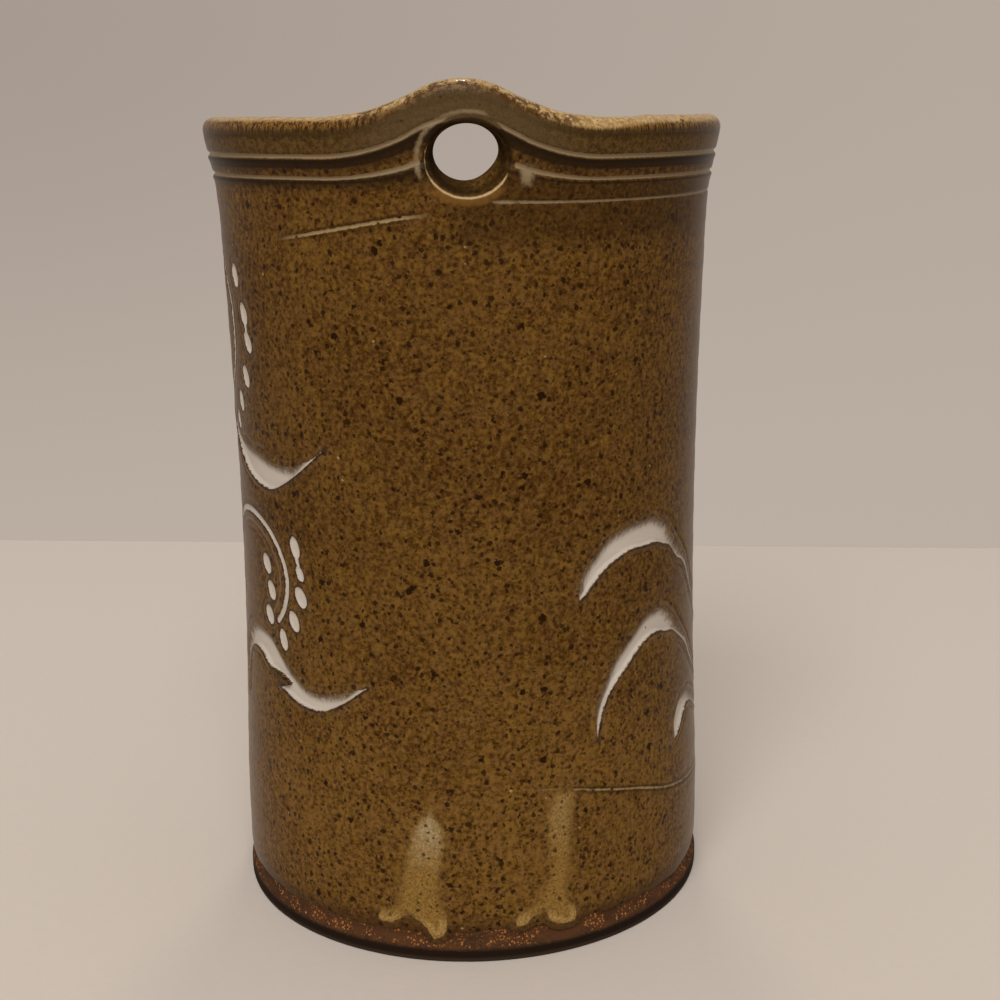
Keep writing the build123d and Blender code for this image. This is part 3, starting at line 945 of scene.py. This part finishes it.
class Value:
    """One output socket of a material's node tree."""

    def __init__(self, tree, socket):
        self.tree = tree
        self.socket = socket

    def node(self, kind, settings, sockets, output=0):
        """A new node with its settings and its sockets' values or links; gives one of its outputs."""
        made = self.tree.nodes.new(kind)
        for setting, value in settings.items():
            setattr(made, setting, value)
        for socket, value in sockets.items():
            if isinstance(value, Value):
                self.tree.links.new(value.socket, made.inputs[socket])
            else:
                made.inputs[socket].default_value = value
        return Value(self.tree, made.outputs[output])

    def math(self, operation, *others):
        values = dict(enumerate((self, *others)))
        return self.node("ShaderNodeMath", {"operation": operation}, values)

    def __add__(self, other):
        return self.math("ADD", other)

    __radd__ = __add__

    def __sub__(self, other):
        return self.math("SUBTRACT", other)

    def __rsub__(self, other):
        return self.math("MULTIPLY_ADD", -1.0, other)

    def __mul__(self, other):
        return self.math("MULTIPLY", other)

    __rmul__ = __mul__

    def above(self, other):
        return self.math("GREATER_THAN", other)

    def most(self, other):
        return self.math("MAXIMUM", other)

    def step(self, start, end):
        """Soft step from 0 at the start to 1 at the end."""
        sockets = {"Value": self, "From Min": start, "From Max": end}
        return self.node("ShaderNodeMapRange", {"interpolation_type": "SMOOTHSTEP"}, sockets)


def colour(red, green, blue):
    """A colour from its usual 0 to 255 numbers, as light."""
    shares = (red / 255, green / 255, blue / 255)
    linear = [c / 12.92 if c <= 0.04045 else ((c + 0.055) / 1.055) ** 2.4 for c in shares]
    return (*linear, 1.0)


def blend(amount, first, second):
    """Mix of two colours by an amount from 0 to 1."""
    sockets = {0: amount, 6: first, 7: second}
    return amount.node("ShaderNodeMix", {"data_type": "RGBA"}, sockets, 2)


def coordinate(where, axis):
    """One coordinate of places or directions."""
    return where.node("ShaderNodeSeparateXYZ", {}, {0: where}, axis)


def field(where, name):
    """A vertex field of the mesh."""
    return where.node("ShaderNodeAttribute", {"attribute_name": name}, {}, "Fac")


def noise(where, scale, detail=2.0, rough=0.5):
    """Cloudy noise from 0 to 1, with its scale in waves per millimetre."""
    sockets = {"Vector": where, "Scale": scale, "Detail": detail, "Roughness": rough}
    return where.node("ShaderNodeTexNoise", {}, sockets, 0)


def stretched(where, along):
    """Places in millimetres with the height squeezed, for streaks that run downward."""
    squeeze = {0: where, 1: (1.0, 1.0, along)}
    return where.node("ShaderNodeVectorMath", {"operation": "MULTIPLY"}, squeeze)


def shaken(where, size):
    """Places moved about a little, so that what is drawn there turns uneven."""
    sockets = {"Vector": where, "Scale": 1.7, "Detail": 1.0}
    drift = where.node("ShaderNodeTexNoise", {}, sockets, "Color")
    centred = {0: drift, 1: (0.5, 0.5, 0.5)}
    centred = where.node("ShaderNodeVectorMath", {"operation": "SUBTRACT"}, centred)
    moved = {0: centred, 1: (size, size, size), 2: where}
    return where.node("ShaderNodeVectorMath", {"operation": "MULTIPLY_ADD"}, moved)


def specks(where, spacing, share, smallest, largest):
    """Uneven specks: one in some of the cells of a given spacing, with radii between two sizes."""
    where = shaken(where, largest * 1.5)
    sockets = {"Vector": where, "Scale": 1 / spacing, "Randomness": 1.0}
    cells = {"feature": "F1", "voronoi_dimensions": "3D"}
    distance = where.node("ShaderNodeTexVoronoi", cells, sockets, "Distance") * spacing
    tint = where.node("ShaderNodeTexVoronoi", cells, sockets, "Color")
    chance = where.node("ShaderNodeSeparateColor", {}, {"Color": tint}, "Red")
    draw = where.node("ShaderNodeSeparateColor", {}, {"Color": tint}, "Green")
    size = draw * (largest - smallest) + smallest
    return (size - distance).step(-0.1, 0.12) * (1 - chance.above(share))


def new_material(name):
    """A material with a glossy shader still to be linked, and places in millimetres."""
    material = bpy.data.materials.new(name)
    material.use_nodes = True
    start = Value(material.node_tree, None)
    place = start.node("ShaderNodeTexCoord", {}, {}, "Object")
    where = start.node("ShaderNodeVectorMath", {"operation": "SCALE"}, {0: place, "Scale": 1 / MM})
    return material, where


def finish_material(material, pieces, base, roughness, bump, bump_size, gloss, sheen, glint=None):
    """Links colour, roughness and relief to the shader, and gives the material to its pieces.

    The bump's size is in millimetres. The sheen shows at grazing angles. A glint is where a wet-looking
    skin of glaze catches the light.
    """
    tree = material.node_tree
    shader = tree.nodes["Principled BSDF"]
    shader.inputs["Specular IOR Level"].default_value = gloss
    shader.inputs["Coat Roughness"].default_value = 0.3 if glint is None else 0.07
    grazing = base.node("ShaderNodeLayerWeight", {}, {"Blend": 0.5}, "Facing").step(0.45, 1.0) * sheen
    if glint is not None:
        grazing = grazing.most(glint)
    sockets = {"Strength": 1.0, "Distance": bump_size * MM, "Height": bump}
    links = {"Base Color": base, "Roughness": roughness, "Coat Weight": grazing,
             "Normal": base.node("ShaderNodeBump", {}, sockets)}
    for socket, value in links.items():
        tree.links.new(value.socket, shader.inputs[socket])
    for piece in pieces:
        piece.data.materials.append(material)


# %% [markdown]
# ## Brown speckled glaze
# The glaze is a warm brown with fine grain, golden patches, soft clouds, dark iron specks of many sizes
# and a few pale ones, and it darkens to a hem at its lower edge. Every other glaze on the pot starts from
# it, so it is a function that other materials call first and then paint over.

# %% Brown glaze


def brown_glaze(where):
    """Colour, roughness and relief of the speckled brown glaze."""
    fine = noise(where, 1.05, 3.0, 0.66)
    streak = noise(stretched(where, 0.4), 0.8, 2.0)
    cloud = noise(where, 0.05, 2.0)
    height = coordinate(where, "Z")
    # Lighter towards the foot: partly the glaze's own colour, partly painted light for the glow bounced from the
    # table.
    low = height.step(95.0, 25.0)
    tone = fine * 0.8 + streak * 0.2 + (cloud - 0.5) * 0.16 + low * 0.03
    golden = noise(where, 0.35, 2.0).step(0.42, 0.62)
    bright = blend(low, colour(110, 78, 35), colour(121, 87, 41))
    bright = blend(golden * 0.6, bright, colour(119, 86, 30))
    base = blend(tone.step(0.3, 0.7), colour(61, 34, 3), bright)
    hem = (height + (streak - 0.5) * 3.0).step(11.0, 6.4)
    base = blend(hem * 0.75, base, colour(64, 41, 19))
    weak = specks(where, 0.95, 0.9, 0.12, 0.4)
    middling = specks(where, 1.6, 0.85, 0.14, 0.6)
    large = specks(where, 4.4, 0.5, 0.3, 0.85)
    pale = specks(where, 3.6, 0.3, 0.1, 0.34)
    base = blend(weak * 0.65, base, colour(46, 22, 0))
    base = blend(pale * 0.65, base, colour(178, 146, 98))
    iron = (middling * 0.85).most(large * 0.97)
    base = blend(iron, base, colour(32, 14, 0))
    roughness = 0.4 + fine * 0.16 - iron * 0.1
    relief = fine * 0.5 - iron * 0.4 + pale * 0.3
    return base, roughness, relief


def new_glaze(name):
    """A new material that starts as the brown glaze: with its places, colour, roughness and relief."""
    material, where = new_material(name)
    return material, where, *brown_glaze(where)


material, where, base, roughness, relief = new_glaze("brown_glaze")
finish_material(material, [wall_coat], base, roughness, relief, bump_size=0.06, gloss=0.06, sheen=0.55)

# %% [markdown]
# ## White slip in the strokes
# Slip is fine white clay. It fills each stroke, thin and streaky towards the soft edge where the tool
# left the clay, and stops sharply at the crisp edge, where the glaze gathered in a dark line.

# %% White slip
material, where, base, roughness, relief = new_glaze("white_slip")
ragged = noise(where, 1.3, 3.0, 0.65) - 0.5
fine = noise(where, 3.0, 2.0)
depth = field(where, "depth") + ragged * 0.5
soft = field(where, "soft") + ragged * 0.7
streak = noise(stretched(where, 0.16), 1.6, 2.0, 0.6)
crisp = field(where, "crisp")
faint = field(where, "faint") + ragged * 0.35
filled = depth.step(0.0, 0.16)
feather = (soft + (streak - 0.5) * 2.2).step(0.1, 2.2)
feather = feather.most((1 - crisp.step(0.35, 1.2)) * 0.9)
# Dark line along the crisp edges, where the glaze gathered; round the dots it is painted shade.
edge_line = (crisp + ragged * 0.5).step(-0.62, -0.25) * (1 - depth.step(-0.1, 0.12))
edge_line = edge_line * (fine * 0.6 + streak * 0.4).step(0.3, 0.6)
white = blend(feather, colour(114, 99, 78), colour(193, 181, 168))
white = blend((fine - 0.42).step(0.0, 0.3) * 0.3, white, colour(205, 194, 180))
# Painted shade: the white is dulled along the crisp edge, where the steep wall of the cut catches more light.
white = blend(crisp.step(0.9, 0.2) * soft.step(0.8, 2.0) * 0.2, white, colour(146, 133, 118))
base = blend(edge_line * 0.85, base, colour(38, 23, 8))
base = blend(faint.step(0.0, 0.25) * 0.55, base, colour(128, 104, 78))
base = blend(filled * (feather * 0.75 + 0.25), base, white)
iron = specks(where, 2.4, 0.18, 0.05, 0.28)
base = blend(iron * filled * 0.8, base, colour(60, 44, 32))
finish_material(material, pieces_in_slip, base, roughness + filled * 0.05, relief * (1 - filled * 0.7),
                bump_size=0.05, gloss=0.16, sheen=0.4)

# %% [markdown]
# ## Thick glaze runs and scratched lines
# Where glaze is thick it turns cream and ochre. The runs are palest at the top, where the glaze let go,
# and at the curled feet.

# %% Run glaze
material, where, base, roughness, relief = new_glaze("run_glaze")
height = coordinate(where, "Z")
ragged = noise(where, 0.8, 4.0, 0.7) - 0.5
grain = noise(where, 2.2, 3.0, 0.65)
inside_run = field(where, "depth")
thick = (inside_run + ragged * 3.2).step(-0.6, 1.9)
cream = (height + ragged * 16.0).step(19.0, 31.0) * inside_run.step(0.0, 2.2) * field(where, "creamy")
creamy = blend(grain.step(0.3, 0.7), colour(142, 120, 80), colour(180, 160, 122))
body = blend(grain.step(0.3, 0.7), colour(104, 75, 30), colour(154, 118, 58))
body = blend(cream * 0.85, body, creamy)
iron = specks(where, 1.4, 0.85, 0.12, 0.5).most(specks(where, 2.7, 0.6, 0.25, 0.62))
body = blend(iron * 0.85, body, colour(44, 27, 8))
base = blend(thick * 0.85, base, body)
toe_edge = (inside_run + ragged * 0.9).step(-0.1, 0.3)
curl = toe_edge * (inside_run + ragged * 0.5).step(2.1, 1.1) * field(where, "toe")
curled = blend(grain.step(0.35, 0.7), colour(140, 105, 50), colour(184, 151, 93))
base = blend(curl * 0.85, base, curled)
finish_material(material, runs, base, roughness - thick * 0.06, relief, bump_size=0.05, gloss=0.1, sheen=0.5)

# %% Scratched lines
material, where, base, roughness, relief = new_glaze("scratched_line")
ragged = noise(where, 1.1, 3.0, 0.65) - 0.5
depth = field(where, "depth")
fade = field(where, "fade")
under = (depth + ragged * 0.6).step(-0.7, -0.2)
base = blend(under * fade * 0.6, base, colour(44, 27, 9))
mark = (depth + ragged * 0.7).step(0.0, 0.25)
iron = specks(where, 2.0, 0.6, 0.15, 0.5)
base = blend(mark * fade * 0.85, base, blend(iron, colour(156, 131, 90), colour(50, 32, 14)))
finish_material(material, scratch_pieces, base, roughness, relief, bump_size=0.05, gloss=0.06, sheen=0.55)

# %% [markdown]
# ## Collar and lip glaze
# The collar is darker and greyer where the glaze lies thick on the pulled lug, with grey-beige lines
# where it pooled in the rings. The lip breaks to honey and cream with rusty streaks. Both read how far
# they lie below the rim's line from a field of the mesh, so the colours follow the lug up and the scoop down.

# %% Colours below the rim


def rim_colours(where, base):
    """Paints the bands below the rim: cream edge, ochre with rusty teeth, painted shade under the lip, and olive
    grey.

    The results are the colour and the noise that frays the bands.
    """
    ragged = noise(where, 1.1, 3.0, 0.65)
    sway = ragged - 0.5
    grain = noise(where, 2.4, 3.0, 0.7)
    streak = noise(stretched(where, 0.1), 2.1, 2.0, 0.6)
    drop = field(where, "drop")
    near = field(where, "near")
    uneven_drop = drop + sway * 1.4
    olive = blend((ragged * 0.6 + grain * 0.4).step(0.36, 0.64), colour(55, 38, 12), colour(98, 72, 35))
    face = blend(grain.step(0.3, 0.7), colour(80, 62, 36), colour(94, 77, 52))
    base = blend(uneven_drop.step(9.2, 6.4) * 0.92, base, blend(near * 0.85, olive, face))
    # Painted shade: a dark band just under the lip's roll, weaker on the lug's face.
    painted_shade_under_lip = uneven_drop.step(1.4, 2.6) * uneven_drop.step(4.4, 3.2)
    base = blend(painted_shade_under_lip * (0.62 - near * 0.35), base, colour(52, 35, 9))
    hanging = drop + (streak - 0.5) * 1.8
    ochre = blend(grain.step(0.35, 0.65), colour(100, 67, 22), colour(142, 102, 47))
    base = blend(hanging.step(2.7, 1.3) * (0.9 - near * 0.45), base, ochre)
    teeth = (streak - 0.47).step(0.0, 0.08) * drop.step(0.3, 0.9) * uneven_drop.step(3.4, 2.0)
    base = blend(teeth * field(where, "rusty") * 0.85, base, colour(50, 29, 6))
    cream = drop - field(where, "reach") - 0.2 + sway * 0.9 + (streak - 0.5) * 0.9
    creamy = blend(ragged.step(0.35, 0.7), colour(152, 118, 68), colour(200, 169, 121))
    base = blend(cream.step(0.4, -0.4) * 0.9, base, creamy)
    crest = near.step(0.0, 0.5) * drop.step(-0.1, 0.3) * drop.step(3.0, 1.6)
    mottled = noise(where, 0.7, 3.0, 0.7).step(0.48, 0.56)
    base = blend(crest * mottled * 0.85, base, colour(70, 43, 11))
    spots = specks(where, 2.2, 0.4, 0.15, 0.6) * drop.step(6.0, 3.0)
    return blend(spots * 0.85, base, colour(46, 26, 8)), ragged


# %% Collar glaze
material, where, base, roughness, relief = new_glaze("collar_glaze")
base, ragged = rim_colours(where, base)


def frayed(name, size, start, end):
    """A field with ragged borders, as a soft step."""
    return (field(where, name) + (ragged - 0.5) * size).step(start, end)


in_hole = field(where, "hole")
lining = blend(field(where, "lit"), colour(58, 38, 9), colour(98, 69, 26))
lining = blend(ragged.step(0.3, 0.7), colour(42, 25, 2), lining)
coats = [
    (field(where, "dusk") * 0.5, colour(46, 28, 5)),
    # The band includes painted shade below the second ring.
    (frayed("band", 0.4, 0.1, 0.7) * 0.9, colour(34, 20, 6)),
    (frayed("shade", 0.4, 0.25, 0.8) * 0.8, colour(34, 20, 6)),
    (frayed("pale", 0.55, 0.3, 0.75) * 0.9, colour(136, 116, 87)),
    (in_hole * 0.85, lining),
    (field(where, "inner") * 0.75, colour(28, 16, 2)),
    (frayed("ochre", 0.6, 0.2, 0.9) * 0.6, colour(118, 80, 32)),
    # Thin pale glaze on the hole's edge, with a painted highlight.
    (frayed("edge_glaze_and_highlight", 0.7, 0.3, 0.8) * 0.85, colour(188, 160, 114)),
]
for amount, tint in coats:
    base = blend(amount, base, tint)
roughness = roughness - field(where, "near") * 0.1 + in_hole * 0.6
finish_material(material, [collar_coat], base, roughness, relief, bump_size=0.05, gloss=0.07,
                sheen=(1 - in_hole) * 0.5)

# %% Lip glaze
material, where, base, roughness, relief = new_glaze("lip_glaze")
base, _ = rim_colours(where, base)
lug_crest = field(where, "near").step(0.7, 1.0) * field(where, "drop").step(1.4, 0.9)
wet = noise(where, 1.6, 2.0, 0.6).step(0.5, 0.6) * lug_crest
finish_material(material, [lip_coat], base, roughness - 0.08, relief, bump_size=0.12, gloss=0.14, sheen=0.25,
                glint=wet)

# %% [markdown]
# ## Liner and bare clay
# Inside, the glaze is the same brown, glossier and a little darker towards the floor. The bare clay is
# toasted brown with orange grains of sand, and nearly black at the lower edge, where shade under the foot is
# painted.

# %% Liner glaze
material, where, base, roughness, relief = new_glaze("liner_glaze")
darker_toward_floor = (coordinate(where, "Z") + (noise(where, 0.06, 2.0) - 0.5) * 16.0).step(26.0, 9.0)
base = blend(darker_toward_floor * 0.6, base, colour(52, 36, 16))
finish_material(material, [liner], base, roughness - 0.12, relief, bump_size=0.05, gloss=0.4, sheen=0.5)

# %% Bare clay
material, where = new_material("toasted_clay")
height = coordinate(where, "Z")
grain = noise(where, 2.6, 4.0, 0.7)
cloud = noise(where, 0.12, 2.0)
base = blend(grain.step(0.3, 0.7), colour(53, 35, 22), colour(79, 52, 31))
toast = (height + (cloud - 0.5) * 3.0).step(2.6, 3.6) * cloud.step(0.4, 0.6)
base = blend(toast * 0.45, base, colour(94, 57, 30))
base = blend(noise(where, 0.8, 3.0, 0.6).step(0.52, 0.68) * 0.5, base, colour(56, 35, 24))
sandy = height.step(2.9, 3.6) * noise(where, 0.3, 2.0).step(0.43, 0.53)
sand = specks(where, 0.52, 0.75, 0.06, 0.27) * sandy
base = blend(sand * 0.9, base, colour(176, 112, 56))
# Painted shade under the foot: nearly black up to the glaze, a little lighter at the very bottom as painted light
# bounced from the table.
painted_shade_at_foot = blend(height.step(1.4, 0.4), colour(32, 20, 12), colour(56, 44, 34))
base = blend((height + (grain - 0.5) * 1.0).step(3.1, 2.3), base, painted_shade_at_foot)
finish_material(material, [wall_clay, collar_clay, lug_clay, foot_clay], base, 0.8 + grain * 0.15, grain,
                bump_size=0.08, gloss=0.1, sheen=0.0)
print("materials:", len(bpy.data.materials))

# %% [markdown]
# ## Table, light and camera
# The pot stands on a pale table in soft light from above; the table's far edge runs a little aslant. The
# camera looks slightly down at the side with the hole, from about as high as the rim, so the rim shows as
# a nearly straight line.

# %% Table and backdrop
table_mesh = bpy.data.meshes.new("table")
reach, table_back, back_slant = 3, 0.2615, 0.0925
back_edge = [(end, table_back - back_slant * end, 0) for end in (reach, -reach)]
table_mesh.from_pydata([(-reach, -reach, 0), (reach, -reach, 0), *back_edge], [], [(0, 1, 2, 3)])
table = bpy.data.objects.new("table", table_mesh)
scene.collection.objects.link(table)
material, where = new_material("pale_table")
weave = noise(where, 0.5, 3.0)
base = blend(weave, colour(206, 193, 181), colour(210, 197, 185))
finish_material(material, [table], base, 0.7 + weave * 0.1, weave, bump_size=0.05, gloss=0.1, sheen=0.0)

# %% Light
scene.view_settings.view_transform = "Standard"
world = bpy.data.worlds.new("soft_room")
scene.world = world
world.use_nodes = True
tree = world.node_tree
tree.nodes.clear()
start = Value(tree, None)
rays = ("Is Camera Ray", "Is Glossy Ray", "Is Transmission Ray")
eye, glossy, through = (start.node("ShaderNodeLightPath", {}, {}, ray) for ray in rays)
direction = start.node("ShaderNodeTexCoord", {}, {}, "Generated")
side_way, depth_way, height_way = (coordinate(direction, axis) for axis in "XYZ")
upper = blend(side_way.step(-0.35, 0.35), colour(167, 154, 145), colour(180, 167, 156))
backdrop = blend(height_way.step(-0.3, 0.06), colour(187, 174, 162), upper)
room = blend(depth_way.step(-0.35, 0.25), colour(52, 44, 36), backdrop)
lit = start.node("ShaderNodeBackground", {}, {"Color": colour(255, 252, 248), "Strength": 0.42})
seen = start.node("ShaderNodeBackground", {}, {"Color": blend(glossy, backdrop, room), "Strength": 1.0})
sky = start.node("ShaderNodeMixShader", {}, {0: eye.most(glossy).most(through), 1: lit, 2: seen})
output = tree.nodes.new("ShaderNodeOutputWorld")
tree.links.new(sky.socket, output.inputs["Surface"])


def lamp(name, place, aim, size, power, tint):
    """A square soft lamp that shines from a place towards an aim, in metres."""
    data = bpy.data.lights.new(name, "AREA")
    data.size = size
    data.energy = power
    data.color = tint
    made = bpy.data.objects.new(name, data)
    scene.collection.objects.link(made)
    made.location = place
    away = np.subtract(place, aim)
    flat = math.hypot(away[0], away[1])
    made.rotation_euler = (math.atan2(flat, away[2]), 0, math.atan2(away[0], -away[1]))


lamp("front_lamp", (-0.25, -1.7, 1.9), (0, 0.05, 0.05), 1.5, 46.0, (1.0, 0.99, 0.98))
lamp("small_lamp", (0.02, 0.35, 0.98), (0, -0.03, 0.17), 0.1, 1.0, (1.0, 0.95, 0.86))

# %% Camera
camera_place = (0.0, -0.3332, 0.1695)
pitch, turn, roll = 0.2491, 0.0213, -0.0113
ahead = math.cos(pitch)
forward = np.array([ahead * math.sin(turn), ahead * math.cos(turn), -math.sin(pitch)])
level_right = np.array([math.cos(turn), -math.sin(turn), 0.0])
up = np.cross(level_right, forward)
right = math.cos(roll) * level_right + math.sin(roll) * up
up = math.cos(roll) * up - math.sin(roll) * level_right
camera_data = bpy.data.cameras.new("camera")
camera_data.sensor_width = 36.0
camera_data.lens = 54.97
camera_data.clip_start = 0.01
camera = bpy.data.objects.new("camera", camera_data)
scene.collection.objects.link(camera)
axes = np.column_stack([right, up, -forward])
rows = [[*axis, place] for axis, place in zip(axes, camera_place)]
camera.matrix_world = Matrix([*rows, [0, 0, 0, 1]])
scene.camera = camera
print("camera", camera_place, "lens", camera_data.lens, "mm")
